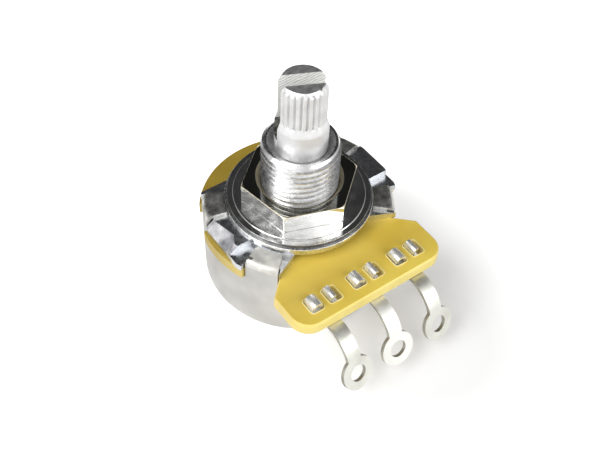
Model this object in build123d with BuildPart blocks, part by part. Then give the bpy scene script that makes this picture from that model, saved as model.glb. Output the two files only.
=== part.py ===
from build123d import *
from math import cos, radians, sin, tan
import os

os.makedirs("parts", exist_ok=True)

# Panel potentiometer, 24 mm case, millimetres.
# It stands on the back of its case: +Z runs out along the shaft, the terminals point to -Y.
# The origin is on the shaft's axis, in the flat back face of the case.

# Case
case_diameter = 24.0
case_wall = 0.5
case_height = 9.0
case_corner_radius = 1.3
back_tab_angle = 24.0
front_tab_angle = -33.0
tab_arc = 20.0
tab_reach = 2.7
tab_bend_radius = 0.4
tab_gap_arc = 1.4
rim_notch_half_width = 8.6
rim_notch_depth = 0.75
stop_lug_arc = 19.2
stop_lug_depth = 1.1

# Terminal board
board_thickness = 1.6
board_overhang = 0.4
board_side_inset = 1.3
board_tongue_length = 4.05
board_corner_radius = 2.5
board_hole_clearance = 0.3
board_edge_break = 0.2

# Mounting plate
plate_thickness = 0.85
plate_step = 0.85
plate_wing_inset = 0.1
plate_overhang = 0.1
plate_ear_overhang = 0.6
plate_wall_width = 0.85
plate_back = 7.2
plate_step_front = 2.6
plate_seat_inset = 0.38
plate_ear_front = 6.9
plate_ear_inner = 5.5
plate_ear_slope = 24.5

# Threaded bushing
thread_diameter = 9.525
thread_pitch = 25.4 / 32
thread_depth = 0.61343 * thread_pitch
thread_crest = thread_pitch / 8
thread_over_cut = 0.05
bushing_length = 9.525
bushing_neck_length = 1.0
bushing_neck_depth = 0.52
bushing_bevel = 0.4
bushing_mouth_diameter = 8.1
bushing_mouth_depth = 0.65
spigot_radius = 4.0
spigot_lip_radius = 4.7
spigot_lip_thickness = 0.6

# Shaft
shaft_diameter = 6.35
shaft_length = 18.6
shaft_running_clearance = 0.03
knurl_diameter = 5.7
knurl_length = 5.1
knurl_bevel_length = 0.65
knurl_bevel_depth = 0.38
knurl_flutes = 24
knurl_flute_width = 0.36
knurl_flute_depth = 0.24
knurl_run_out = 1.1
slot_width = 1.9
slot_depth = 7.85
slot_angle = -25.0
shaft_flats = 4.6
shaft_head_radius = 3.2
shaft_head_thickness = 0.6

# Nut and washers on the bushing
nut_across_flats = 12.7
nut_thickness = 2.5
nut_corner_bevel = 0.2
nut_bore_clearance = 0.05
nut_bore_bevel = 0.55
nut_turn = 160.2 - 120.0
dress_washer_inset = 0.28
dress_washer_thickness = 0.65
dress_washer_bore = 9.8
dress_washer_ledge_width = 0.7
dress_washer_ledge_drop = 0.15
dress_washer_edge_radius = 0.12
lock_washer_tab_gap = 0.12
lock_washer_thickness = 0.5
lock_washer_bore = 12.2
lock_washer_teeth = 12
lock_tooth_length = 1.15
lock_tooth_width = 1.5

# Terminals
terminal_pitch = 6.15
terminal_thickness = 0.5
terminal_width = 1.85
terminal_pad_overlap = 3.3
terminal_collector_overlap = 0.7
terminal_edge_gap = 0.05
terminal_bend_radius = 4.0
terminal_bend_angle = 68.0
terminal_straight = 2.15
lug_diameter = 4.5
lug_hole_diameter = 2.25
prong_edge_distance = 2.55
prong_thickness = 0.35
prong_width = 1.7
prong_rise = 0.2
prong_bend_radius = 0.55
prong_left_fold = 158.0
prong_right_fold = 100.0
prong_tail = 0.3
prong_slot_length = 1.6
prong_slot_width = 2.0
prong_slot_inner_gap = 0.08

# Printed films under the board
film_thickness = 0.1
collector_hole_margin = 0.5
collector_width = 1.2
track_spacing = 0.4
track_width = 2.0
end_pad_wall_gap = 0.3
end_pad_start = 30.0
end_pad_arc = 16.0

# Rotor
contact_gap = 0.05
carrier_top_drop = 2.0
carrier_thickness = 1.6
carrier_track_margin = 0.2
stake_post_radius = 0.5
stake_post_height = 0.4
stake_post_circle = 5.2
wiper_thickness = 0.2
wiper_ring_inner = 3.6
wiper_ring_outer = 6.9
wiper_paddle_start = 4.2
wiper_paddle_end = 2.6
wiper_paddle_inset = 0.3
wiper_finger_width = 0.4
wiper_finger_step = 0.65
wiper_nose_half_length = 0.35
wiper_tail_drop = 0.3
wiper_tail_length = 0.5
stop_disc_thickness = 0.8
stop_disc_radius = 6.5
stop_ear_arc = 40.0
stop_ear_gap = 0.6

# Shaft retention, from the bushing's lip down
thrust_washer_thickness = 0.3
spring_washer_thickness = 0.2
spring_washer_height = 0.5
retaining_ring_thickness = 0.45
retaining_ring_gap = 2.4
retention_radius = 4.7
groove_diameter = 5.3
washer_bore_clearance = 0.05

# Plan sizes that follow from the case and the shaft
case_radius = case_diameter / 2
case_inner_radius = case_radius - case_wall
notch_radius = case_inner_radius - tab_bend_radius - contact_gap
board_radius = case_radius + board_overhang
board_half_width = case_radius - board_side_inset
board_front = case_radius + board_tongue_length
board_hole_radius = retention_radius + board_hole_clearance
plate_radius = case_radius + plate_overhang
plate_half_length = case_radius - plate_wing_inset
plate_ear_radius = case_radius + plate_ear_overhang
lock_washer_radius = case_radius - tab_reach - lock_washer_tab_gap
dress_washer_radius = lock_washer_radius - dress_washer_inset
plate_seat_radius = lock_washer_radius - plate_seat_inset
collector_inner_radius = board_hole_radius + collector_hole_margin
collector_outer_radius = collector_inner_radius + collector_width
track_inner_radius = collector_outer_radius + track_spacing
track_outer_radius = track_inner_radius + track_width
carrier_radius = track_outer_radius + carrier_track_margin
end_pad_outer_radius = case_inner_radius - end_pad_wall_gap
terminal_inner_end = case_inner_radius - terminal_pad_overlap
terminal_centre_inner_end = collector_outer_radius - terminal_collector_overlap
terminal_bend_start = board_front + terminal_edge_gap
prong_place = board_front - prong_edge_distance
shaft_radius = shaft_diameter / 2
bore_radius = shaft_radius + shaft_running_clearance
knurl_radius = knurl_diameter / 2
thread_radius = thread_diameter / 2
thread_root_radius = thread_radius - thread_depth
neck_radius = thread_radius - bushing_neck_depth

# Heights, all from the back face of the case
board_bottom = case_height
board_top = board_bottom + board_thickness
ear_top = board_top + plate_thickness
seat_bottom = board_top + plate_step
seat_top = seat_bottom + plate_thickness
bushing_top = seat_top + bushing_length
shaft_top = seat_top + shaft_length
lock_top = seat_top + lock_washer_thickness
dress_top = lock_top + dress_washer_thickness
nut_top = dress_top + nut_thickness
film_bottom = board_bottom - film_thickness
lip_bottom = seat_bottom - spigot_lip_thickness
thrust_top = lip_bottom - contact_gap
thrust_bottom = thrust_top - thrust_washer_thickness
spring_bottom = thrust_bottom - spring_washer_height
ring_bottom = spring_bottom - retaining_ring_thickness
carrier_top = board_bottom - carrier_top_drop
carrier_bottom = carrier_top - carrier_thickness
stop_bottom = carrier_bottom - stop_disc_thickness
head_bottom = stop_bottom - shaft_head_thickness
stop_lug_bottom = head_bottom - case_wall
stop_lug_top = carrier_bottom - contact_gap
knurl_bottom = shaft_top - knurl_length

# Places of what repeats
terminal_places = [-terminal_pitch, 0, terminal_pitch]
terminal_names = ["terminal_left", "terminal_centre", "terminal_right"]
tab_angles = [back_tab_angle, 180 - back_tab_angle, front_tab_angle, 180 - front_tab_angle]


def radial_plane(angle):
    """The upright plane through the shaft's axis, at an angle from +X."""
    out = Vector(cos(radians(angle)), sin(radians(angle)), 0)
    return Plane(origin=(0, 0, 0), x_dir=out, z_dir=out.cross(Vector(0, 0, 1)))


def sector(inner, outer, middle, arc, mode=Mode.ADD):
    """Draw a ring sector about the shaft's axis into the open sketch."""
    start = middle - arc / 2
    with BuildLine() as outline:
        far = CenterArc((0, 0), outer, start, arc)
        near = CenterArc((0, 0), inner, start, arc)
        Line(far @ 0, near @ 0)
        Line(far @ 1, near @ 1)
    make_face(outline.edges(), mode=mode)


# Rear case: drawn steel cup with four tabs that fold over the mounting plate
with BuildPart() as rear_case:
    with BuildSketch():
        Circle(case_radius)
    extrude(amount=case_height)
    back_edge = rear_case.edges().filter_by(GeomType.CIRCLE).sort_by(Axis.Z)[0]
    fillet(back_edge, case_corner_radius)
    with BuildSketch(radial_plane(0)):
        with Locations((0, case_wall)):
            Rectangle(case_inner_radius, case_height, align=(Align.MIN, Align.MIN))
        inside_corner = vertices().sort_by_distance((case_inner_radius, case_wall))[0]
        fillet(inside_corner, case_corner_radius - case_wall)
    revolve(axis=Axis.Z, mode=Mode.SUBTRACT)
    # The rim is lower where the terminals leave
    with BuildSketch(Plane.XY.offset(case_height - rim_notch_depth)):
        with Locations((0, -case_radius)):
            Rectangle(2 * rim_notch_half_width, case_radius)
    extrude(amount=rim_notch_depth, mode=Mode.SUBTRACT)
    # Tabs with a rounded bend, higher at the back than at the front
    for angle, tab_seat in zip(tab_angles, [seat_top, seat_top, ear_top, ear_top]):
        with BuildSketch(radial_plane(angle - tab_arc / 2)):
            with BuildLine():
                Polyline(
                    (case_inner_radius, case_height - case_wall),
                    (case_radius, case_height - case_wall),
                    (case_radius, tab_seat + case_wall),
                    (case_radius - tab_reach, tab_seat + case_wall),
                    (case_radius - tab_reach, tab_seat),
                    (case_inner_radius, tab_seat),
                    close=True,
                )
            make_face()
            outside_bend = vertices().sort_by_distance((case_radius, tab_seat + case_wall))[0]
            fillet(outside_bend, tab_bend_radius + case_wall)
            inside_bend = vertices().sort_by_distance((case_inner_radius, tab_seat))[0]
            fillet(inside_bend, tab_bend_radius)
        revolve(axis=Axis.Z, revolution_arc=tab_arc)
    # Stop lug, pressed in from outside under the terminals
    with BuildSketch(Plane.XY.offset(stop_lug_bottom)):
        sector(case_inner_radius - stop_lug_depth, case_inner_radius + case_wall / 2, -90, stop_lug_arc)
    extrude(amount=stop_lug_top - stop_lug_bottom)
    with BuildSketch(Plane.XY.offset(stop_lug_bottom + case_wall)):
        sector(case_radius - stop_lug_depth, case_radius + case_wall, -90, stop_lug_arc - stop_lug_arc / 4)
    extrude(amount=stop_lug_top - stop_lug_bottom - 2 * case_wall, mode=Mode.SUBTRACT)
rear_case.part.label = "rear_case"

# Terminal board: phenolic sheet, round with a square tongue that carries the terminals
with BuildPart() as terminal_board:
    with BuildSketch(Plane.XY.offset(board_bottom)):
        Rectangle(2 * board_half_width, board_front, align=(Align.CENTER, Align.MAX))
        fillet(vertices().group_by(Axis.Y)[0], board_corner_radius)
        Circle(board_radius)
        Circle(board_hole_radius, mode=Mode.SUBTRACT)
        for angle in tab_angles:
            sector(notch_radius, 2 * board_radius, angle, tab_arc + tab_gap_arc, Mode.SUBTRACT)
        for place in terminal_places:
            for side in (-1, 1):
                slot_middle = terminal_width / 2 - prong_thickness - prong_slot_inner_gap
                slot_middle = slot_middle + prong_slot_length / 2
                with Locations((place + side * slot_middle, -prong_place)):
                    Rectangle(prong_slot_length, prong_slot_width, mode=Mode.SUBTRACT)
    extrude(amount=board_thickness)
    chamfer(terminal_board.edges().group_by(Axis.Z)[-1].filter_by(
        lambda edge: edge.length > 2 * prong_slot_length and edge.center().Y < -terminal_width
    ), board_edge_break)
terminal_board.part.label = "terminal_board"

# Mounting plate: raised seat, its end walls down to the board, and two lower ears in front
with BuildPart() as mounting_plate:
    with BuildSketch(Plane.XY.offset(seat_bottom)):
        Circle(plate_radius)
        seat_depth = plate_back + plate_step_front
        with Locations((0, plate_back)):
            Rectangle(
                2 * plate_half_length, seat_depth, align=(Align.CENTER, Align.MAX), mode=Mode.INTERSECT
            )
        Circle(plate_seat_radius)
        for angle in tab_angles[:2]:
            sector(notch_radius, 2 * plate_radius, angle, tab_arc + tab_gap_arc, Mode.SUBTRACT)
    extrude(amount=plate_thickness)
    with BuildSketch(Plane.XY.offset(board_top)):
        Circle(plate_radius)
        with Locations((0, plate_back)):
            Rectangle(
                2 * plate_half_length, seat_depth, align=(Align.CENTER, Align.MAX), mode=Mode.INTERSECT
            )
        Rectangle(2 * (plate_half_length - plate_wall_width), 3 * plate_radius, mode=Mode.SUBTRACT)
        for angle in tab_angles[:2]:
            sector(notch_radius, 2 * plate_radius, angle, tab_arc + tab_gap_arc, Mode.SUBTRACT)
    extrude(amount=plate_step)
    with BuildSketch(Plane.XY.offset(board_top)):
        Circle(plate_ear_radius)
        ear_back = plate_step_front - plate_thickness
        ear_tip = plate_ear_front + (plate_half_length - plate_ear_inner) * tan(radians(plate_ear_slope))
        Polygon(
            (-plate_half_length, -ear_back),
            (-plate_half_length, -ear_tip),
            (-plate_ear_inner, -plate_ear_front),
            (plate_ear_inner, -plate_ear_front),
            (plate_half_length, -ear_tip),
            (plate_half_length, -ear_back),
            align=None,
            mode=Mode.INTERSECT,
        )
        Rectangle(2 * plate_ear_inner, 3 * plate_radius, mode=Mode.SUBTRACT)
        for angle in tab_angles[2:]:
            sector(notch_radius, 2 * plate_radius, angle, tab_arc + tab_gap_arc, Mode.SUBTRACT)
    extrude(amount=plate_step)
    with BuildSketch(Plane.XY.offset(seat_bottom)):
        Circle(spigot_radius)
    extrude(amount=plate_thickness, mode=Mode.SUBTRACT)
mounting_plate.part.label = "mounting_plate"

# Bushing: threaded sleeve, its spigot pressed through the plate and spread into a lip
with BuildPart() as bushing:
    with BuildSketch(radial_plane(180)):
        with BuildLine():
            Polyline(
                (bore_radius, lip_bottom),
                (spigot_lip_radius, lip_bottom),
                (spigot_lip_radius, seat_bottom),
                (spigot_radius, seat_bottom),
                (spigot_radius, seat_top),
                (neck_radius, seat_top),
                (neck_radius, seat_top + bushing_neck_length),
                (thread_radius, seat_top + bushing_neck_length + bushing_neck_depth),
                (thread_radius, bushing_top - bushing_bevel),
                (thread_radius - bushing_bevel, bushing_top),
                (bushing_mouth_diameter / 2, bushing_top),
                (bore_radius, bushing_top - bushing_mouth_depth),
                close=True,
            )
        make_face()
    revolve(axis=Axis.Z)
    groove_start = seat_top + bushing_neck_length / 2
    with BuildLine(mode=Mode.PRIVATE) as groove_path:
        Helix(
            thread_pitch, bushing_top + thread_pitch - groove_start, thread_root_radius,
            center=(0, 0, groove_start),
        )
    with BuildSketch(radial_plane(0), mode=Mode.PRIVATE) as groove_section:
        groove_mouth = thread_pitch - thread_crest + 2 * thread_over_cut * tan(radians(30))
        with BuildLine():
            Polyline(
                (thread_root_radius, groove_start - thread_pitch / 12),
                (thread_root_radius, groove_start + thread_pitch / 12),
                (thread_radius + thread_over_cut, groove_start + groove_mouth / 2),
                (thread_radius + thread_over_cut, groove_start - groove_mouth / 2),
                close=True,
            )
        make_face()
    sweep(groove_section.sketch, path=groove_path.line, is_frenet=True, mode=Mode.SUBTRACT)
bushing.part.label = "bushing"

# Shaft: plain journal, splined and split upper end, flats and a spread head below
with BuildPart() as shaft:
    with BuildSketch(radial_plane(0)):
        with BuildLine():
            Polyline(
                (0, head_bottom),
                (shaft_head_radius, head_bottom),
                (shaft_head_radius, stop_bottom),
                (shaft_radius, stop_bottom),
                (shaft_radius, ring_bottom),
                (groove_diameter / 2, ring_bottom),
                (groove_diameter / 2, spring_bottom),
                (shaft_radius, spring_bottom),
                (shaft_radius, knurl_bottom - knurl_run_out),
                (knurl_radius, knurl_bottom),
                (knurl_radius, shaft_top - knurl_bevel_length),
                (knurl_radius - knurl_bevel_depth, shaft_top),
                (0, shaft_top),
                close=True,
            )
        make_face()
    revolve(axis=Axis.Z)
    # Splines
    with BuildSketch(Plane.XY.offset(knurl_bottom)):
        with PolarLocations(knurl_radius, knurl_flutes, start_angle=slot_angle):
            Polygon(
                (-knurl_flute_depth, 0),
                (knurl_flute_depth, -knurl_flute_width),
                (knurl_flute_depth, knurl_flute_width),
            )
    extrude(amount=knurl_length, mode=Mode.SUBTRACT)
    # Split
    with BuildSketch(Plane.XY.offset(shaft_top - slot_depth)):
        Rectangle(2 * shaft_diameter, slot_width, rotation=slot_angle)
    extrude(amount=slot_depth, mode=Mode.SUBTRACT)
    # Flats that drive the rotor
    with BuildSketch(Plane.XY.offset(stop_bottom)):
        for side in (-1, 1):
            with Locations((side * (shaft_flats / 2 + shaft_radius / 2), 0)):
                Rectangle(shaft_radius, shaft_diameter)
    extrude(amount=carrier_top - stop_bottom, mode=Mode.SUBTRACT)
shaft.part.label = "shaft"

# Nut
with BuildPart() as hex_nut:
    with BuildSketch(Plane.XY.offset(dress_top)):
        RegularPolygon(nut_across_flats / 2, 6, major_radius=False, rotation=nut_turn)
    extrude(amount=nut_thickness)
    with BuildSketch(radial_plane(0)):
        nut_corner_radius = nut_across_flats / 2 / cos(radians(30))
        bevel_width = nut_corner_bevel / tan(radians(30))
        with BuildLine():
            Polyline(
                (0, dress_top),
                (nut_corner_radius - bevel_width, dress_top),
                (nut_corner_radius, dress_top + nut_corner_bevel),
                (nut_corner_radius, nut_top - nut_corner_bevel),
                (nut_corner_radius - bevel_width, nut_top),
                (0, nut_top),
                close=True,
            )
        make_face()
    revolve(axis=Axis.Z, mode=Mode.INTERSECT)
    with BuildSketch(radial_plane(0)):
        nut_bore_radius = thread_radius + nut_bore_clearance
        with BuildLine():
            Polyline(
                (0, dress_top),
                (nut_bore_radius + nut_bore_bevel, dress_top),
                (nut_bore_radius, dress_top + nut_bore_bevel),
                (nut_bore_radius, nut_top - nut_bore_bevel),
                (nut_bore_radius + nut_bore_bevel, nut_top),
                (0, nut_top),
                close=True,
            )
        make_face()
    revolve(axis=Axis.Z, mode=Mode.SUBTRACT)
hex_nut.part.label = "hex_nut"

# Dress washer, with a ledge pressed round its upper edge
with BuildPart() as dress_washer:
    with BuildSketch(Plane.XY.offset(lock_top)):
        Circle(dress_washer_radius)
        Circle(dress_washer_bore / 2, mode=Mode.SUBTRACT)
    extrude(amount=dress_washer_thickness)
    with BuildSketch(Plane.XY.offset(dress_top)):
        Circle(dress_washer_radius)
        Circle(dress_washer_radius - dress_washer_ledge_width, mode=Mode.SUBTRACT)
    extrude(amount=-dress_washer_ledge_drop, mode=Mode.SUBTRACT)
    ledge_rim = dress_washer.edges().group_by(Axis.Z)[-2].sort_by(SortBy.LENGTH)[-1]
    top_rim = dress_washer.edges().group_by(Axis.Z)[-1].sort_by(SortBy.LENGTH)[-1]
    fillet([ledge_rim, top_rim], dress_washer_edge_radius)
dress_washer.part.label = "dress_washer"

# Lock washer with teeth round its bore
with BuildPart() as lock_washer:
    with BuildSketch(Plane.XY.offset(seat_top)):
        Circle(lock_washer_radius)
        Circle(lock_washer_bore / 2, mode=Mode.SUBTRACT)
        with PolarLocations(lock_washer_bore / 2 - lock_tooth_length / 2, lock_washer_teeth):
            Rectangle(lock_tooth_length + lock_washer_thickness, lock_tooth_width)
        Circle(lock_washer_bore / 2 - lock_tooth_length, mode=Mode.SUBTRACT)
    extrude(amount=lock_washer_thickness)
lock_washer.part.label = "lock_washer"

# Terminals: stamped strips under the board, clinched through it by two prongs each
for name, place in zip(terminal_names, terminal_places):
    inner_end = terminal_centre_inner_end if place == 0 else terminal_inner_end
    strip_height = film_bottom - terminal_thickness / 2
    lug_tilt = radians(terminal_bend_angle)
    with BuildPart() as terminal:
        with BuildSketch(Plane.YZ.offset(place - terminal_width / 2)):
            with BuildLine() as strip_line:
                flat_run = Line((-inner_end, strip_height), (-terminal_bend_start, strip_height))
                bend = JernArc(flat_run @ 1, flat_run % 1, terminal_bend_radius, terminal_bend_angle)
                PolarLine(bend @ 1, terminal_straight, direction=bend % 1)
            trace(line_width=terminal_thickness)
        extrude(amount=terminal_width)
        lug_middle = strip_line.line @ 1
        lug_plane = Plane(
            origin=(place, lug_middle.X, lug_middle.Y),
            x_dir=(1, 0, 0),
            z_dir=(0, -sin(lug_tilt), cos(lug_tilt)),
        )
        with BuildSketch(lug_plane.offset(-terminal_thickness / 2)):
            Circle(lug_diameter / 2)
        extrude(amount=terminal_thickness)
        with BuildSketch(lug_plane.offset(-terminal_thickness)):
            Circle(lug_hole_diameter / 2)
        extrude(amount=2 * terminal_thickness, mode=Mode.SUBTRACT)
        for side, fold in ((-1, prong_left_fold), (1, prong_right_fold)):
            leg = place + side * (terminal_width - prong_thickness) / 2
            with BuildSketch(Plane.XZ.offset(prong_place - prong_width / 2)):
                with BuildLine():
                    rise = Line((leg, strip_height), (leg, board_top + prong_rise))
                    curl = JernArc(rise @ 1, rise % 1, prong_bend_radius, -side * fold)
                    PolarLine(curl @ 1, prong_tail, direction=curl % 1)
                trace(line_width=prong_thickness)
            extrude(amount=prong_width)
    terminal.part.label = name
    export_step(terminal.part, "parts/" + name + ".step")

# Printed films under the board: resistive track, its end pads and the collector ring
with BuildPart() as resistive_track:
    with BuildSketch(Plane.XY.offset(film_bottom)):
        sector(
            track_inner_radius, track_outer_radius, 90, 360 - 2 * (end_pad_start + end_pad_arc),
        )
    extrude(amount=film_thickness)
resistive_track.part.label = "resistive_track"

with BuildPart() as track_end_pads:
    with BuildSketch(Plane.XY.offset(film_bottom)):
        for side in (-1, 1):
            pad_middle = -90 + side * (end_pad_start + end_pad_arc / 2)
            sector(track_inner_radius, end_pad_outer_radius, pad_middle, end_pad_arc)
    extrude(amount=film_thickness)
track_end_pads.part.label = "track_end_pads"

with BuildPart() as collector_ring:
    with BuildSketch(Plane.XY.offset(film_bottom)):
        Circle(collector_outer_radius)
        Circle(collector_inner_radius, mode=Mode.SUBTRACT)
    extrude(amount=film_thickness)
collector_ring.part.label = "collector_ring"

# Wiper carrier: moulded disc on the shaft's flats, with two posts that hold the wiper
with BuildPart() as wiper_carrier:
    with BuildSketch(Plane.XY.offset(carrier_bottom)):
        Circle(carrier_radius)
        Circle(shaft_radius, mode=Mode.SUBTRACT)
        for side in (-1, 1):
            with Locations((side * (shaft_flats / 2 + shaft_radius / 2), 0)):
                Rectangle(shaft_radius, shaft_diameter)
    extrude(amount=carrier_thickness)
    with BuildSketch(Plane.XY.offset(carrier_top)):
        with PolarLocations(stake_post_circle, 2, start_angle=-135, angular_range=180):
            Circle(stake_post_radius)
    extrude(amount=stake_post_height)
wiper_carrier.part.label = "wiper_carrier"

# Wiper: one spring stamping, two fingers on the collector ring and two on the track
with BuildPart() as wiper:
    with BuildSketch(Plane.XY.offset(carrier_top)):
        Circle(wiper_ring_outer)
        with Locations((-wiper_paddle_start, 0)):
            paddle_reach = track_outer_radius - wiper_paddle_inset
            Rectangle(wiper_paddle_start - wiper_paddle_end, paddle_reach, align=(Align.MIN, Align.MIN))
        Circle(wiper_ring_inner, mode=Mode.SUBTRACT)
        with Locations((-wiper_paddle_end, collector_inner_radius - wiper_finger_step)):
            Rectangle(
                2 * wiper_ring_outer, wiper_ring_outer, align=(Align.MIN, Align.MIN), mode=Mode.SUBTRACT
            )
        with PolarLocations(stake_post_circle, 2, start_angle=-135, angular_range=180):
            Circle(stake_post_radius, mode=Mode.SUBTRACT)
    extrude(amount=wiper_thickness)
    nose_height = film_bottom - contact_gap - wiper_thickness / 2
    collector_middle = (collector_inner_radius + collector_outer_radius) / 2
    track_middle = (track_inner_radius + track_outer_radius) / 2
    for middle in (collector_middle, track_middle):
        for side in (-1, 1):
            finger_place = middle + side * wiper_finger_step / 2 - wiper_finger_width / 2
            with BuildSketch(Plane.XZ.offset(-finger_place - wiper_finger_width)):
                with BuildLine():
                    Polyline(
                        (-wiper_paddle_end - wiper_finger_width, carrier_top + wiper_thickness / 2),
                        (-wiper_paddle_end, carrier_top + wiper_thickness / 2),
                        (-wiper_nose_half_length, nose_height),
                        (wiper_nose_half_length, nose_height),
                        (wiper_nose_half_length + wiper_tail_length, nose_height - wiper_tail_drop),
                    )
                trace(line_width=wiper_thickness)
            extrude(amount=wiper_finger_width)
wiper.part.label = "wiper"

# Stop disc: steel, with one wide ear that meets the lug in the case at each end of the turn
with BuildPart() as stop_disc:
    with BuildSketch(Plane.XY.offset(stop_bottom)):
        Circle(stop_disc_radius)
        Circle(shaft_radius, mode=Mode.SUBTRACT)
        for side in (-1, 1):
            with Locations((side * (shaft_flats / 2 + shaft_radius / 2), 0)):
                Rectangle(shaft_radius, shaft_diameter)
        sector(shaft_radius + stop_disc_thickness, case_inner_radius - stop_ear_gap, 90, stop_ear_arc)
    extrude(amount=stop_disc_thickness)
stop_disc.part.label = "stop_disc"

# Thrust washer, spring washer and retaining ring hold the shaft up against the bushing's lip
washer_bore = shaft_radius + washer_bore_clearance
with BuildPart() as thrust_washer:
    with BuildSketch(Plane.XY.offset(thrust_bottom)):
        Circle(retention_radius)
        Circle(washer_bore, mode=Mode.SUBTRACT)
    extrude(amount=thrust_washer_thickness)
thrust_washer.part.label = "thrust_washer"

with BuildPart() as spring_washer:
    with BuildSketch(radial_plane(0)):
        with BuildLine():
            Polyline(
                (washer_bore, thrust_bottom - spring_washer_thickness),
                (washer_bore, thrust_bottom),
                (washer_bore + spring_washer_thickness, thrust_bottom),
                (retention_radius, spring_bottom + spring_washer_thickness),
                (retention_radius, spring_bottom),
                (retention_radius - spring_washer_thickness, spring_bottom),
                close=True,
            )
        make_face()
    revolve(axis=Axis.Z)
spring_washer.part.label = "spring_washer"

with BuildPart() as retaining_ring:
    with BuildSketch(Plane.XY.offset(ring_bottom)):
        Circle(retention_radius)
        Circle(groove_diameter / 2, mode=Mode.SUBTRACT)
        Rectangle(retention_radius, retaining_ring_gap, align=(Align.MIN, Align.CENTER), mode=Mode.SUBTRACT)
    extrude(amount=retaining_ring_thickness)
retaining_ring.part.label = "retaining_ring"

finished = (
    rear_case, terminal_board, mounting_plate, bushing, shaft, hex_nut, dress_washer, lock_washer,
    resistive_track, track_end_pads, collector_ring, wiper_carrier, wiper, stop_disc,
    thrust_washer, spring_washer, retaining_ring,
)
for piece in finished:
    export_step(piece.part, "parts/" + piece.part.label + ".step")
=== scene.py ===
from math import cos, radians, sin

import bpy
from mathutils import Matrix, Vector


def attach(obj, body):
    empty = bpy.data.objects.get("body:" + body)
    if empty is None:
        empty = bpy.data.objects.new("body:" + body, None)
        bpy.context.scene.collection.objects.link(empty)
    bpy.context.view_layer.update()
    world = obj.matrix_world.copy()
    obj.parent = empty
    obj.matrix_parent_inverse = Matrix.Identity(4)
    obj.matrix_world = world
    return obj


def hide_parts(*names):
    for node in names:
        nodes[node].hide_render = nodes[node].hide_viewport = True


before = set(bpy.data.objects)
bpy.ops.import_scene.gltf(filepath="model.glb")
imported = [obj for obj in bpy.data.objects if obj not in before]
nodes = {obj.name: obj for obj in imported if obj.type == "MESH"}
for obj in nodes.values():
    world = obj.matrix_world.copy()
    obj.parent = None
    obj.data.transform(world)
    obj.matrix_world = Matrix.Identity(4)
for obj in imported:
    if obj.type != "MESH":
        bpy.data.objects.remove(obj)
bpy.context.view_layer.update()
mm = 0.001
micron = 0.001 * mm

# Camera
view_elevation = radians(49.11)
view_azimuth = radians(-37.41)
view_roll = 0.046
view_distance = 111.7 * mm
view_centre = Vector((0, 0, 12 * mm))
view_shift_right = 0.152 * mm
view_shift_up = -3.449 * mm
lens_length = 54
lens_sensor = 36
lens_nearest = 1 * mm

# Studio: a floor glow is its middle, where it starts to grow, where it is full, and its low level
floor_size = 4.0
floor_level = 0.9
full_glow = 0.8
seen_glow = (Vector((6, -20, 0)) * mm, 8 * mm, 40 * mm, 0.08)
mirrored_glow = (Vector(), 40 * mm, 300 * mm, 0.15)
key_place = Vector((-0.68, 0.0, 0.68))
key_size = 0.6
key_power = 6.1
fill_place = Vector((0.32, -0.68, 0.5))
fill_size = 0.6
fill_power = 3.0
room_level = 0.8
dark_level = 0.04
dark_side = Vector((0.354, 0.612, 0.707))
dark_start = 0.1
dark_full = 0.76

# Finishes: gloss and fine marks repeat this much finer than the blotches
gloss_ratio = 2.7
mark_ratio = 9

# Finishes: detail and bump of all patterns, and fineness of the other ones
pattern_detail = 3
bump_strength = 0.4
cutter_mark_scale = 1700
paper_scale = 160
paper_grain_scale = 2500

# Joining and softening of a CAD mesh
join_reach = 1 * micron
same_plane = radians(0.6)
sharp_edge = radians(28)
smooth_edge = radians(50)
double_reach = 0.5 * micron
sliver_reach = 0.1 * micron

# Places on the case, board and plate, in millimetres
board_top = 10.6
board_front = -16.0
board_back = 6.0
front_tabs = -5
wing_end = 11.9
wing_top = 12.3
wing_edge_reach = 0.35
wing_top_gap = 0.01
wing_step_low = board_top + 0.9
wing_step_inside = 7
facet_width = 1.1
facet_outside = -11.2
facet_inside = -10.4
facet_edge_gap = 0.02
facet_edge_length = 3
facet_half_length = 3
torn_inside = -10.2
torn_low = board_top + 0.3
facet_middle_reach = 0.6
facet_pull = Vector((0.7, -0.87, 0))

# Places on the shaft, nut and washer, in millimetres
split_angle = radians(-25)
across_slot = Vector((-sin(split_angle), cos(split_angle), 0))
slot_reach = 1.0
slot_floor = 22.9
slot_wall_low = 23
slot_end = 24.9
shoulder_low = 24.4
shoulder_high = 26.2
end_face_low = 30
nut_bevels = 5.6
nut_rim_low = 14.5
washer_wall_inside = 8.7
washer_wall_high = 13.2

# Terminals, in millimetres and degrees
terminal_pitch = 6.15
lug_face = Vector((0, -0.92718, 0.37461))
lug_start = -18.6
prong_row = -13.5
lug_row = -19.2
lug_top = 6.5
lug_shift = 0.07
strip_top = 8.4
strip_edges_high = board_top - 1.7
clinch_low = board_top - 0.2
standing_prong_low = board_top + 0.02
outer_lug_turn = 11
prong_fixed_side = 0.95
prong_share = 0.68

# Pressed lips round the prongs' slots, in millimetres
slot_offset = 1.295
lip_width = 2.05
lip_length = 2.45
lip_corner = 0.45
lip_thickness = 0.16
lip_height = 0.07


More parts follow.
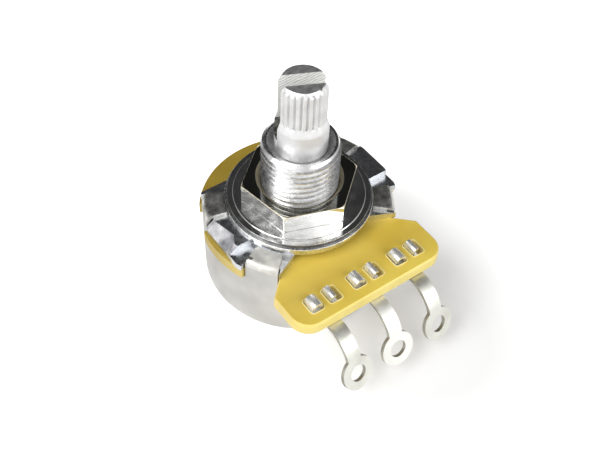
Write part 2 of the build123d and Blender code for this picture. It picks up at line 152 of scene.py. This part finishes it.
def place_camera():
    """Put the camera where the fitted view has it, turned about its own axis by the roll."""
    back = Vector((
        sin(view_azimuth) * cos(view_elevation),
        -cos(view_azimuth) * cos(view_elevation),
        sin(view_elevation),
    ))
    level = Vector((cos(view_azimuth), sin(view_azimuth), 0))
    upward = back.cross(level)
    right = cos(view_roll) * level + sin(view_roll) * upward
    top = cos(view_roll) * upward - sin(view_roll) * level
    place = view_centre + view_distance * back + view_shift_right * right + view_shift_up * top
    lens = bpy.data.cameras.new("studio_camera")
    lens.lens = lens_length
    lens.sensor_width = lens_sensor
    lens.clip_start = lens_nearest
    camera = bpy.data.objects.new("studio_camera", lens)
    bpy.context.scene.collection.objects.link(camera)
    camera.matrix_world = Matrix.Translation(place) @ Matrix((right, top, back)).transposed().to_4x4()
    bpy.context.scene.camera = camera


def softbox(name, place, size, power):
    """A square area lamp that looks at the middle of the object."""
    lamp = bpy.data.lights.new(name, "AREA")
    lamp.size = size
    lamp.energy = power
    box = bpy.data.objects.new(name, lamp)
    bpy.context.scene.collection.objects.link(box)
    box.location = place
    box.rotation_euler = (view_centre - place).to_track_quat("-Z", "Y").to_euler()


def floor_glow(tree, middle, near, far, low):
    """Glow of the floor, which grows with the distance from a place on it."""
    away = tree.nodes.new("ShaderNodeVectorMath")
    away.operation = "DISTANCE"
    away.inputs[1].default_value = middle
    tree.links.new(tree.nodes.new("ShaderNodeTexCoord").outputs["Object"], away.inputs[0])
    growth = tree.nodes.new("ShaderNodeMapRange")
    growth.inputs["From Min"].default_value = near
    growth.inputs["From Max"].default_value = far
    growth.inputs["To Min"].default_value = low
    growth.inputs["To Max"].default_value = full_glow
    tree.links.new(away.outputs["Value"], growth.inputs["Value"])
    return growth.outputs["Result"]


def white_floor():
    """Pale floor, white to the camera except where the object's shadow lies."""
    bpy.ops.object.select_all(action="DESELECT")
    bpy.ops.mesh.primitive_plane_add(size=floor_size)
    floor = bpy.context.object
    floor.name = "studio_floor"
    finish = bpy.data.materials.new("floor_white")
    finish.use_nodes = True
    tree = finish.node_tree
    tree.nodes.clear()
    output = tree.nodes.new("ShaderNodeOutputMaterial")
    paper = tree.nodes.new("ShaderNodeBsdfDiffuse")
    paper.inputs["Color"].default_value = (*grey(floor_level), 1)
    glow = tree.nodes.new("ShaderNodeEmission")
    glow.inputs["Color"].default_value = (*grey(1), 1)
    rays = tree.nodes.new("ShaderNodeLightPath")
    mirrored = tree.nodes.new("ShaderNodeMath")
    mirrored.operation = "MULTIPLY"
    tree.links.new(rays.outputs["Is Glossy Ray"], mirrored.inputs[0])
    tree.links.new(floor_glow(tree, *mirrored_glow), mirrored.inputs[1])
    share = tree.nodes.new("ShaderNodeMix")
    tree.links.new(rays.outputs["Is Camera Ray"], share.inputs["Factor"])
    tree.links.new(mirrored.outputs[0], share.inputs["A"])
    tree.links.new(floor_glow(tree, *seen_glow), share.inputs["B"])
    tree.links.new(share.outputs["Result"], glow.inputs["Strength"])
    both = tree.nodes.new("ShaderNodeAddShader")
    tree.links.new(paper.outputs[0], both.inputs[0])
    tree.links.new(glow.outputs[0], both.inputs[1])
    tree.links.new(both.outputs[0], output.inputs["Surface"])
    floor.data.materials.append(finish)


def white_room():
    """White all round for the camera; polished tops see one dark patch high behind the object."""
    world = bpy.data.worlds.new("studio_room")
    bpy.context.scene.world = world
    world.use_nodes = True
    tree = world.node_tree
    tree.nodes.clear()
    output = tree.nodes.new("ShaderNodeOutputWorld")
    direction = tree.nodes.new("ShaderNodeTexCoord")
    towards = tree.nodes.new("ShaderNodeVectorMath")
    towards.operation = "DOT_PRODUCT"
    towards.inputs[1].default_value = dark_side
    tree.links.new(direction.outputs["Generated"], towards.inputs[0])
    room = ramped(
        tree, towards.outputs["Value"], grey(room_level), grey(dark_level), dark_start, dark_full
    )
    rays = tree.nodes.new("ShaderNodeLightPath")
    backdrop = tree.nodes.new("ShaderNodeMix")
    backdrop.data_type = "RGBA"
    backdrop.inputs["B"].default_value = (*grey(1), 1)
    tree.links.new(rays.outputs["Is Camera Ray"], backdrop.inputs["Factor"])
    tree.links.new(room, backdrop.inputs["A"])
    light = tree.nodes.new("ShaderNodeBackground")
    tree.links.new(backdrop.outputs["Result"], light.inputs["Color"])
    tree.links.new(light.outputs[0], output.inputs["Surface"])


def grey(level):
    """The same level of red, green and blue."""
    return (level, level, level)


def finish_nodes(name, metal, roughness):
    """A new material with its shader, and the object's coordinates for patterns."""
    finish = bpy.data.materials.new(name)
    finish.use_nodes = True
    tree = finish.node_tree
    shader = tree.nodes["Principled BSDF"]
    shader.inputs["Metallic"].default_value = metal
    shader.inputs["Roughness"].default_value = roughness
    place = tree.nodes.new("ShaderNodeTexCoord").outputs["Object"]
    return finish, tree, shader, place


def noise(tree, place, scale):
    """Cloudy pattern of a given fineness."""
    pattern = tree.nodes.new("ShaderNodeTexNoise")
    pattern.inputs["Scale"].default_value = scale
    pattern.inputs["Detail"].default_value = pattern_detail
    tree.links.new(place, pattern.inputs["Vector"])
    return pattern.outputs["Fac"]


def ramped(tree, amount, low, high, start=0.35, end=0.65):
    """Two colours, or two grey values, over a part of a pattern's range."""
    ramp = tree.nodes.new("ShaderNodeValToRGB")
    ramp.color_ramp.elements[0].position = start
    ramp.color_ramp.elements[0].color = (*low, 1)
    ramp.color_ramp.elements[1].position = end
    ramp.color_ramp.elements[1].color = (*high, 1)
    tree.links.new(amount, ramp.inputs[0])
    return ramp.outputs[0]


def grain(tree, shader, height, microns):
    """Raise a pattern as bump on the shader."""
    bump = tree.nodes.new("ShaderNodeBump")
    bump.inputs["Strength"].default_value = bump_strength
    bump.inputs["Distance"].default_value = microns * micron
    tree.links.new(height, bump.inputs["Height"])
    tree.links.new(bump.outputs[0], shader.inputs["Normal"])


def worn(name, low, high, smooth, dull, blotch, marks, metal=1.0):
    """Finish with blotches of tone and gloss, and with fine marks, whose depth is in microns."""
    finish, tree, shader, place = finish_nodes(name, metal, smooth)
    tree.links.new(ramped(tree, noise(tree, place, blotch), low, high), shader.inputs["Base Color"])
    gloss = ramped(tree, noise(tree, place, blotch * gloss_ratio), grey(smooth), grey(dull))
    tree.links.new(gloss, shader.inputs["Roughness"])
    grain(tree, shader, noise(tree, place, blotch * mark_ratio), marks)
    return finish


def milled():
    """Finish of the slot's walls, with the cutter's slanting marks."""
    finish, tree, shader, place = finish_nodes("milled_slot", 0.25, 0.55)
    marks = tree.nodes.new("ShaderNodeTexWave")
    marks.bands_direction = "DIAGONAL"
    marks.inputs["Scale"].default_value = cutter_mark_scale
    marks.inputs["Distortion"].default_value = 4
    marks.inputs["Detail"].default_value = pattern_detail
    slant = tree.nodes.new("ShaderNodeMapping")
    slant.inputs["Scale"].default_value = (-1, -1, 1)
    tree.links.new(place, slant.inputs["Vector"])
    tree.links.new(slant.outputs["Vector"], marks.inputs["Vector"])
    tone = ramped(tree, marks.outputs["Fac"], (0.58, 0.58, 0.56), (0.90, 0.90, 0.88), 0.05, 0.5)
    tree.links.new(tone, shader.inputs["Base Color"])
    grain(tree, shader, marks.outputs["Fac"], 20)
    return finish


def phenolic(name, low, high, roughness):
    """Yellow board with painted light and shade: paler on the tongue, where light comes through, and
    darker over the case, with a painted dim band and a painted pale band between.
    """
    finish, tree, shader, place = finish_nodes(name, 0.0, roughness)
    tone = ramped(tree, noise(tree, place, paper_scale), low, high)
    across = tree.nodes.new("ShaderNodeSeparateXYZ")
    tree.links.new(place, across.inputs[0])
    reach = tree.nodes.new("ShaderNodeMapRange")
    reach.inputs["From Min"].default_value = board_front * mm
    reach.inputs["From Max"].default_value = board_back * mm
    tree.links.new(across.outputs["Y"], reach.inputs["Value"])
    # Painted light and shade: the colour is multiplied by a ramp along the board, full on the tongue,
    # then a painted dim band, a painted pale band near the washer, and darker towards the back over
    # the case.
    painted_light_and_shade = ramped(tree, reach.outputs["Result"], (1, 1, 1), (0.56, 0.52, 0.47), 0.0, 0.7)
    painted_dim_band = painted_light_and_shade.node.color_ramp.elements.new(0.2)
    painted_dim_band.color = (0.84, 0.79, 0.76, 1)
    painted_pale_band = painted_light_and_shade.node.color_ramp.elements.new(0.33)
    painted_pale_band.color = (0.98, 0.94, 0.9, 1)
    shade = tree.nodes.new("ShaderNodeMix")
    shade.data_type = "RGBA"
    shade.blend_type = "MULTIPLY"
    shade.inputs["Factor"].default_value = 1
    tree.links.new(tone, shade.inputs["A"])
    tree.links.new(painted_light_and_shade, shade.inputs["B"])
    tree.links.new(shade.outputs["Result"], shader.inputs["Base Color"])
    grain(tree, shader, noise(tree, place, paper_grain_scale), 10)
    return finish


def dress(node, finish):
    """Give a CAD node one finish all over."""
    mesh = nodes[node].data
    mesh.materials.clear()
    mesh.materials.append(finish)


def merged_copy(node):
    """A copy of a CAD node with its loose triangles joined into whole faces."""
    piece = bpy.data.objects.new(node + "_piece", nodes[node].data.copy())
    bpy.context.scene.collection.objects.link(piece)
    bpy.ops.object.select_all(action="DESELECT")
    bpy.context.view_layer.objects.active = piece
    piece.select_set(True)
    bpy.ops.mesh.customdata_custom_splitnormals_clear()
    bpy.ops.object.mode_set(mode="EDIT")
    bpy.ops.mesh.select_all(action="SELECT")
    bpy.ops.mesh.remove_doubles(threshold=join_reach)
    bpy.ops.mesh.dissolve_limited(angle_limit=same_plane)
    bpy.ops.object.mode_set(mode="OBJECT")
    bpy.ops.object.shade_flat()
    return piece


def pick(piece, kind, test):
    """Select a piece's faces, edges or corners by a test of their place in millimetres."""
    bpy.context.view_layer.objects.active = piece
    bpy.ops.object.mode_set(mode="EDIT")
    bpy.ops.mesh.select_mode(type=kind)
    bpy.ops.mesh.select_all(action="DESELECT")
    bpy.ops.object.mode_set(mode="OBJECT")
    mesh = piece.data
    if kind == "FACE":
        for face in mesh.polygons:
            face.select = test(face.center / mm, face.normal)
    elif kind == "VERT":
        for corner in mesh.vertices:
            corner.select = test(corner.co / mm)
    else:
        for edge in mesh.edges:
            ends = [mesh.vertices[corner].co / mm for corner in edge.vertices]
            edge.select = test(*ends)
    bpy.ops.object.mode_set(mode="EDIT")


def soften(piece, edge, torn=False):
    """Round the sharp edges, so that they catch the light, and join what that leaves doubled."""
    bpy.context.view_layer.objects.active = piece
    bevel = piece.modifiers.new("edge", "BEVEL")
    bevel.width = edge * mm
    bevel.segments = 2
    bevel.limit_method = "ANGLE"
    bevel.angle_limit = sharp_edge
    bpy.ops.object.modifier_apply(modifier="edge")
    bpy.ops.object.select_all(action="DESELECT")
    piece.select_set(True)
    bpy.ops.object.mode_set(mode="EDIT")
    bpy.ops.mesh.select_all(action="SELECT")
    bpy.ops.mesh.remove_doubles(threshold=double_reach)
    if torn:
        bpy.ops.mesh.dissolve_degenerate(threshold=sliver_reach)
    bpy.ops.object.mode_set(mode="OBJECT")
    bpy.ops.object.shade_smooth_by_angle(angle=smooth_edge)
    flats = piece.modifiers.new("flats", "WEIGHTED_NORMAL")
    flats.keep_sharp = True
    bpy.ops.object.modifier_apply(modifier="flats")


def wear(piece, finish, *others):
    """Give a piece its main finish, and others to the faces that pass their tests."""
    mesh = piece.data
    mesh.materials.clear()
    mesh.materials.append(finish)
    for face in mesh.polygons:
        face.material_index = 0
    for number, (other, test) in enumerate(others):
        mesh.materials.append(other)
        for face in mesh.polygons:
            if test(face.center / mm, face.normal):
                face.material_index = number + 1


def settle(piece, node, body):
    """Put the piece in its CAD node's place."""
    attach(piece, body)
    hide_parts(node)


def softened(node, body, slot, edge, finish, *others):
    """Replace a CAD node by a copy with softened edges and its finishes."""
    piece = merged_copy(node)
    soften(piece, edge)
    wear(piece, finish, *others)
    settle(piece, node, body)


def folded_tab(place, normal):
    """Case tabs, where they are folded over the plate."""
    return place.z > board_top


def front_left_tab(place, normal):
    """The front left tab's folded part, which gets a painted lighter finish."""
    return place.z > board_top and place.x < 0 and place.y < front_tabs


def rear_case():
    """Drawn case, with its tabs folded over the plate and the front left one painted pale as if lit.
    """
    tinned = worn("tinned_case", (0.51, 0.50, 0.475), (0.65, 0.64, 0.615), 0.28, 0.42, 180, 10)
    folded = worn("folded_tab", (0.36, 0.36, 0.33), (0.78, 0.77, 0.73), 0.22, 0.4, 700, 20, 0.9)
    # Painted light: the front left tab gets a paler, less metallic finish than the other tabs, for the
    # light that falls on it.
    painted_lit_tab = worn("painted_light_front_tab", (0.46, 0.45, 0.42), (0.78, 0.77, 0.72), 0.4, 0.55, 500, 10, 0.4)
    softened(
        "rear_case", "root", "case_steel", 0.06, tinned, (folded, folded_tab), (painted_lit_tab, front_left_tab)
    )


def board_side(place, normal):
    """Cut sides, rounded edges and underside of the board."""
    return normal.z < 0.75


def terminal_board():
    """Phenolic board, paler where it is cut, with painted light and shade along it."""
    sheet = phenolic("phenolic_board", (0.70, 0.515, 0.073), (0.78, 0.605, 0.105), 0.36)
    cut = phenolic("phenolic_edge", (0.80, 0.64, 0.17), (0.88, 0.73, 0.24), 0.5)
    softened("terminal_board", "root", "board", 0.12, sheet, (cut, board_side))


def wing_edge(start, end):
    """Upper edges at the end of the left wing."""
    return all(
        abs(corner.z - wing_top) < wing_top_gap and corner.x < wing_edge_reach - wing_end
        for corner in (start, end)
    )


def on_facet_edge(corner):
    """Inner edge of the facet that the bevel cuts on the left wing."""
    return abs(corner.z - wing_top) < facet_edge_gap and facet_outside < corner.x < facet_inside


def facet_edge(start, end):
    """The facet's long inner edge."""
    return on_facet_edge(start) and on_facet_edge(end) and (start - end).length > facet_edge_length


def facet_middle(corner):
    """New corner in the middle of that edge."""
    return on_facet_edge(corner) and abs(corner.y) < facet_middle_reach


def torn_facet(place, normal):
    """Torn and bent faces at the end of the left wing, which get painted dark reflections."""
    at_end = place.x < torn_inside and place.z > torn_low and abs(place.y) < facet_half_length
    return at_end and 0.3 < normal.z < 0.995 and normal.x < -0.1


def front_step(place, normal):
    """Bright steps at the front of the wings, where the plate bends down."""
    at_step = place.z > wing_step_low and abs(place.x) > wing_step_inside
    return at_step and normal.y < -0.3 and normal.z > 0.1


def mounting_plate():
    """Blued plate, torn at the end of its left wing: a facet with its inner edge pulled crooked,
    carrying painted dark reflections.
    """
    blued = worn("blued_plate", (0.64, 0.66, 0.69), (0.80, 0.81, 0.83), 0.22, 0.36, 420, 10)
    bent = worn("bent_steel", (0.74, 0.75, 0.76), grey(0.88), 0.35, 0.45, 700, 10, 0.5)
    # Painted reflection: the facet's near-black blotches stand in for the tab's dark reflection and
    # shadow on the wing.
    torn = worn("torn_steel_painted_reflection", (0.08, 0.09, 0.10), (0.72, 0.71, 0.73), 0.4, 0.5, 420, 30, 0.4)
    plate = merged_copy("mounting_plate")
    pick(plate, "EDGE", wing_edge)
    bpy.ops.mesh.bevel(offset=facet_width * mm, segments=1, affect="EDGES")
    pick(plate, "EDGE", facet_edge)
    bpy.ops.mesh.subdivide(number_cuts=1)
    pick(plate, "VERT", facet_middle)
    bpy.ops.transform.translate(value=facet_pull * mm)
    pick(plate, "FACE", torn_facet)
    bpy.ops.mesh.quads_convert_to_tris()
    bpy.ops.object.mode_set(mode="OBJECT")
    soften(plate, 0.07, torn=True)
    wear(plate, blued, (bent, front_step), (torn, torn_facet))
    settle(plate, "mounting_plate", "root")


def bushing():
    """Threaded bushing, nickel-plated; its CAD mesh already has the thread."""
    dress("bushing", worn("nickel_thread", grey(0.70), grey(0.90), 0.2, 0.3, 700, 10))


def end_face(place, normal):
    """Flat end of the shaft, on both sides of the slot."""
    return normal.z > 0.9 and place.z > end_face_low


def shoulder(place, normal):
    """Cone between the splines and the plain shaft, which gets a painted highlight."""
    return 0.1 < normal.z < 0.9 and shoulder_low < place.z < shoulder_high


def slot_wall(place, normal):
    """Walls of the slot."""
    facing = abs(normal.dot(across_slot)) > 0.95
    return facing and abs(place.dot(across_slot)) < slot_reach and place.z > slot_wall_low


def slot_bottom(place, normal):
    """Lower end of the slot, which gets a painted shade with a coarse bump."""
    return abs(place.dot(across_slot)) < slot_reach and slot_floor < place.z < slot_end


def shaft():
    """Split shaft: turned, faced at its end, and milled in its slot, with a painted highlight on the
    shoulder and painted shade at the slot's lower end.
    """
    turned = worn("turned_shaft", grey(0.70), grey(0.80), 0.42, 0.52, 500, 5)
    faced = worn("faced_end", grey(0.50), (0.82, 0.82, 0.81), 0.4, 0.52, 1100, 20, 0.9)
    # Painted highlight: the shoulder gets a lighter, less metallic copy of the turned finish.
    bright = worn("painted_bright_shoulder", grey(0.73), grey(0.83), 0.4, 0.5, 900, 5, 0.8)
    # Painted shade: the slot's lower end, a recess, is coloured dark and blotchy.
    painted_shade_slot = worn("painted_shade_slot_end", (0.14, 0.14, 0.13), (0.62, 0.62, 0.58), 0.35, 0.5, 1500, 30)
    piece = merged_copy("shaft")
    pick(piece, "FACE", slot_wall)
    bpy.ops.mesh.bisect(plane_co=(0, 0, slot_end * mm), plane_no=(0, 0, 1))
    bpy.ops.object.mode_set(mode="OBJECT")
    soften(piece, 0.03)
    wear(
        piece, turned, (faced, end_face), (bright, shoulder), (milled(), slot_wall),
        (painted_shade_slot, slot_bottom)
    )
    settle(piece, "shaft", "rotor")


def painted_dark_nut_top(place, normal):
    """Flat upper end of the nut, which gets a painted dark reflection."""
    return normal.z > 0.95


def bore_bevel(place, normal):
    """Upper bevel at the nut's bore."""
    return 0.2 < normal.z < 0.95 and place.xy.length < nut_bevels


def nut_rim(place, normal):
    """Bevel round the nut's upper end."""
    return 0.2 < normal.z < 0.95 and place.xy.length > nut_bevels and place.z > nut_rim_low


def hex_nut():
    """Bright nut whose top is painted dark as a reflection, and which has a brassy bevel at the bore
    and a warm one outside.
    """
    nickel = worn("bright_nickel", (0.90, 0.90, 0.88), (0.96, 0.96, 0.94), 0.04, 0.1, 200, 1)
    # Painted reflection: the nickel nut's flat top is coloured dark, standing in for the dark room it
    # mirrors.
    dark = worn("painted_dark_nut_top", (0.18, 0.18, 0.17), (0.26, 0.26, 0.24), 0.04, 0.1, 200, 1)
    brassy = worn("brassy_bore", (0.50, 0.45, 0.32), (0.66, 0.60, 0.44), 0.3, 0.4, 500, 4, 0.6)
    warm = worn("warm_nut_edge", (0.92, 0.84, 0.60), (0.97, 0.90, 0.70), 0.2, 0.3, 300, 1)
    softened(
        "hex_nut", "nut", "nut_metal", 0.07, nickel, (dark, painted_dark_nut_top), (brassy, bore_bevel),
        (warm, nut_rim)
    )


def painted_shade_washer_wall(place, normal):
    """Lower outer wall of the dress washer, under its ledge, which gets a painted shadow."""
    outside = place.xy.length > washer_wall_inside and place.z < washer_wall_high
    return outside and abs(normal.z) < 0.75


def washers():
    """Polished dress washer with a painted shadow on its wall, and the toothed zinc washer under it.
    """
    polished = worn("polished_washer", grey(0.66), (0.86, 0.86, 0.85), 0.1, 0.22, 300, 4)
    # Painted shadow: the wall is coloured dark for the shaded gap between the dress washer and the
    # lock washer.
    dark = worn("painted_shade_washer_wall", grey(0.10), grey(0.2), 0.3, 0.4, 500, 4)
    zinc = worn("zinc_washer", grey(0.6), (0.95, 0.95, 0.93), 0.2, 0.45, 900, 50)
    softened("dress_washer", "washer", "washer_metal", 0.05, polished, (dark, painted_shade_washer_wall))
    softened("lock_washer", "root", "lock_washer_metal", 0.07, zinc)


def cut_edge(place, normal):
    """Sheared edges of a terminal's strip and lug, which point along the sheet."""
    round_lug = place.y < lug_start and abs(normal.dot(lug_face)) < 0.4
    return place.z <= strip_edges_high and (abs(normal.x) > 0.8 or round_lug)


def clinch(place, normal):
    """A terminal's prongs, from just below the board's top."""
    return place.z > clinch_low


def twist(piece, x, turn):
    """Twist a terminal's lug about its strip, below the board, and keep it within the CAD box."""
    bpy.ops.object.select_all(action="DESELECT")
    bpy.ops.object.empty_add(location=Vector((x, lug_row, strip_top)) * mm)
    axis = bpy.context.object
    bpy.context.view_layer.objects.active = piece
    bend = piece.modifiers.new("turn", "SIMPLE_DEFORM")
    bend.deform_method = "TWIST"
    bend.deform_axis = "Z"
    bend.origin = axis
    heights = [corner.co.z / mm for corner in piece.data.vertices]
    bend.limits = (0, (strip_top - min(heights)) / (max(heights) - min(heights)))
    bend.angle = radians(-turn)
    bpy.ops.object.modifier_apply(modifier="turn")
    bpy.data.objects.remove(axis)
    pick(piece, "VERT", lambda corner: corner.z < lug_top)
    bpy.ops.transform.translate(value=(0, lug_shift * mm, 0))
    bpy.ops.object.mode_set(mode="OBJECT")


def terminal(name, row, turn, finish, *others):
    """Solder lug, with its right prong narrowed so that it leaves a part of its slot open."""
    lug = merged_copy(name)
    middle = row * terminal_pitch
    pick(lug, "VERT", lambda corner: corner.z > standing_prong_low and corner.x > middle)
    slot_side = Vector((middle + slot_offset - prong_fixed_side, prong_row, board_top)) * mm
    bpy.ops.transform.resize(value=(prong_share, 1, 1), center_override=slot_side)
    bpy.ops.object.mode_set(mode="OBJECT")
    twist(lug, middle, turn)
    soften(lug, 0.05)
    wear(lug, finish, *others)
    settle(lug, name, "root")


def terminals():
    """Three tinned lugs: the middle one is painted brighter, and the outer two are twisted."""
    tin = worn("tinned_terminal", (0.66, 0.66, 0.60), (0.82, 0.82, 0.76), 0.34, 0.5, 300, 10, 0.85)
    # Painted light: the middle lug gets a brighter copy of the tin finish, for the light it catches.
    bright = worn("painted_bright_tin", (0.84, 0.84, 0.79), (0.93, 0.93, 0.89), 0.38, 0.5, 300, 10, 0.75)
    sheared = worn("sheared_edge", (0.30, 0.29, 0.24), (0.48, 0.46, 0.40), 0.35, 0.5, 700, 10)
    clinched = worn("clinched_tin", (0.74, 0.73, 0.68), (0.90, 0.89, 0.85), 0.22, 0.34, 500, 6, 0.7)
    others = ((sheared, cut_edge), (clinched, clinch))
    terminal("terminal_left", -1, outer_lug_turn, tin, *others)
    terminal("terminal_centre", 0, 0, bright, *others)
    terminal("terminal_right", 1, outer_lug_turn, tin, *others)


def slot_lip(name, x, finish):
    """Pale ridge that the press raised round a prong's slot in the board."""
    bpy.ops.object.select_all(action="DESELECT")
    bpy.ops.mesh.primitive_plane_add(size=1, location=Vector((x, prong_row, board_top)) * mm)
    lip = bpy.context.object
    lip.name = name
    lip.scale = (lip_width * mm, lip_length * mm, mm)
    bpy.ops.object.transform_apply(location=True, rotation=True, scale=True)
    bpy.ops.object.mode_set(mode="EDIT")
    bpy.ops.mesh.select_all(action="SELECT")
    bpy.ops.mesh.bevel(offset=lip_corner * mm, segments=4, affect="VERTICES")
    bpy.ops.mesh.select_all(action="SELECT")
    bpy.ops.mesh.inset(thickness=lip_thickness * mm)
    bpy.ops.mesh.delete(type="FACE")
    bpy.ops.mesh.select_all(action="SELECT")
    bpy.ops.mesh.extrude_region_move(TRANSFORM_OT_translate={"value": (0, 0, lip_height * mm)})
    bpy.ops.mesh.select_all(action="SELECT")
    bpy.ops.mesh.normals_make_consistent(inside=False)
    bpy.ops.object.mode_set(mode="OBJECT")
    soften(lip, 0.03)
    wear(lip, finish)
    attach(lip, "root")


def slot_lips():
    """A lip for each of the six prongs."""
    pressed = worn("pressed_lip", (0.80, 0.66, 0.22), (0.92, 0.80, 0.36), 0.3, 0.45, 700, 10, 0.0)
    for terminal_name, row in (("left", -1), ("centre", 0), ("right", 1)):
        for side, shift in (("a", -slot_offset), ("b", slot_offset)):
            slot_lip("slot_lip_" + terminal_name + "_" + side, row * terminal_pitch + shift, pressed)


def inner_pieces():
    """Finishes of the pieces that the case closes in."""
    steel = worn("inner_steel", grey(0.5), grey(0.62), 0.3, 0.4, 300, 10)
    spring = worn("spring_strip", (0.66, 0.46, 0.22), (0.78, 0.58, 0.3), 0.2, 0.3, 300, 10)
    for node in (
        "stop_disc", "thrust_washer", "spring_washer", "retaining_ring", "track_end_pads",
        "collector_ring", "resistive_track", "wiper_carrier",
    ):
        dress(node, steel)
    dress("wiper", spring)


place_camera()
white_floor()
white_room()
softbox("key_lamp", key_place, key_size, key_power)
softbox("fill_lamp", fill_place, fill_size, fill_power)

rear_case()
terminal_board()
mounting_plate()
bushing()
shaft()
hex_nut()
washers()
terminals()
slot_lips()
inner_pieces()

bpy.context.scene.view_settings.view_transform = "Standard"
